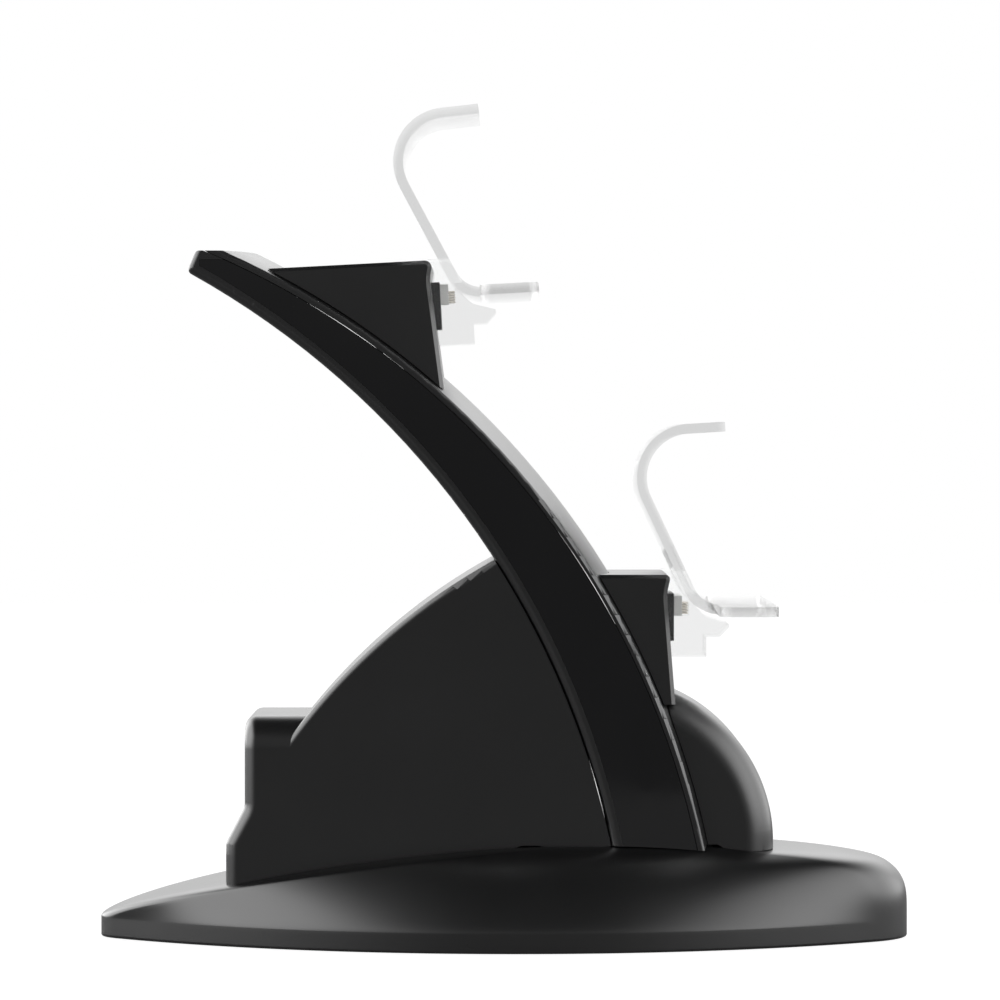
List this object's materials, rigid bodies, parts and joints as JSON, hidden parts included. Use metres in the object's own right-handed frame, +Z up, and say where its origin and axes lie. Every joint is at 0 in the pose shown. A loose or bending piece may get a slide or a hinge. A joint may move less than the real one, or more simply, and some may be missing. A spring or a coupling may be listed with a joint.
{
  "type": "controller charging dock",
  "caption": "Desk charging dock for hand controllers: lens-shaped base, sail pedestal and a curved arm with clear hooked cradles, each with a contact plug.",
  "frame": {"origin": "on the table under the middle of the base, at the underside of the feet", "axes": "+X to the front, where the cradles are, +Y to the dock's left, +Z up"},
  "size_m": [0.175, 0.08, 0.1793],
  "materials": {
    "satin_black": "satin moulded black",
    "gloss_black": "polished black",
    "clear_plastic": "clear polished",
    "foot_rubber": "matt",
    "screw_steel": "plated",
    "plug_dark": "fine grain",
    "contact_ivory": "fine grain",
    "contact_brass": "plated",
    "lead_sheath": "smooth sheath",
    "board_green": "lacquered",
    "inlet_steel": "pressed and plated"
  },
  "bodies": {
    "root": {"base_shell": "satin_black", "bottom_plate": "satin_black", "foot_rear_right": "foot_rubber", "foot_rear_left": "foot_rubber", "foot_front_right": "foot_rubber", "foot_front_left": "foot_rubber", "base_screws": "screw_steel", "pedestal_screw": "screw_steel", "arm_screw": "screw_steel", "pedestal_shell": "satin_black", "arm_rear_shell": "satin_black", "arm_front_cover": "satin_black", "arm_panel_right": "gloss_black", "arm_panel_left": "gloss_black", "nose_cover": "satin_black", "upper_head": "satin_black", "lower_head": "satin_black", "upper_bracket": "clear_plastic", "lower_bracket": "clear_plastic", "upper_plug_flange": "plug_dark", "lower_plug_flange": "plug_dark", "upper_contact_block": "contact_ivory", "lower_contact_block": "contact_ivory", "upper_contacts": "contact_brass", "lower_contacts": "contact_brass", "upper_lead": "lead_sheath", "lower_lead": "lead_sheath", "charge_board": "board_green", "power_inlet": "inlet_steel", "inlet_tongue": "plug_dark"}
  },
  "joints": []
}
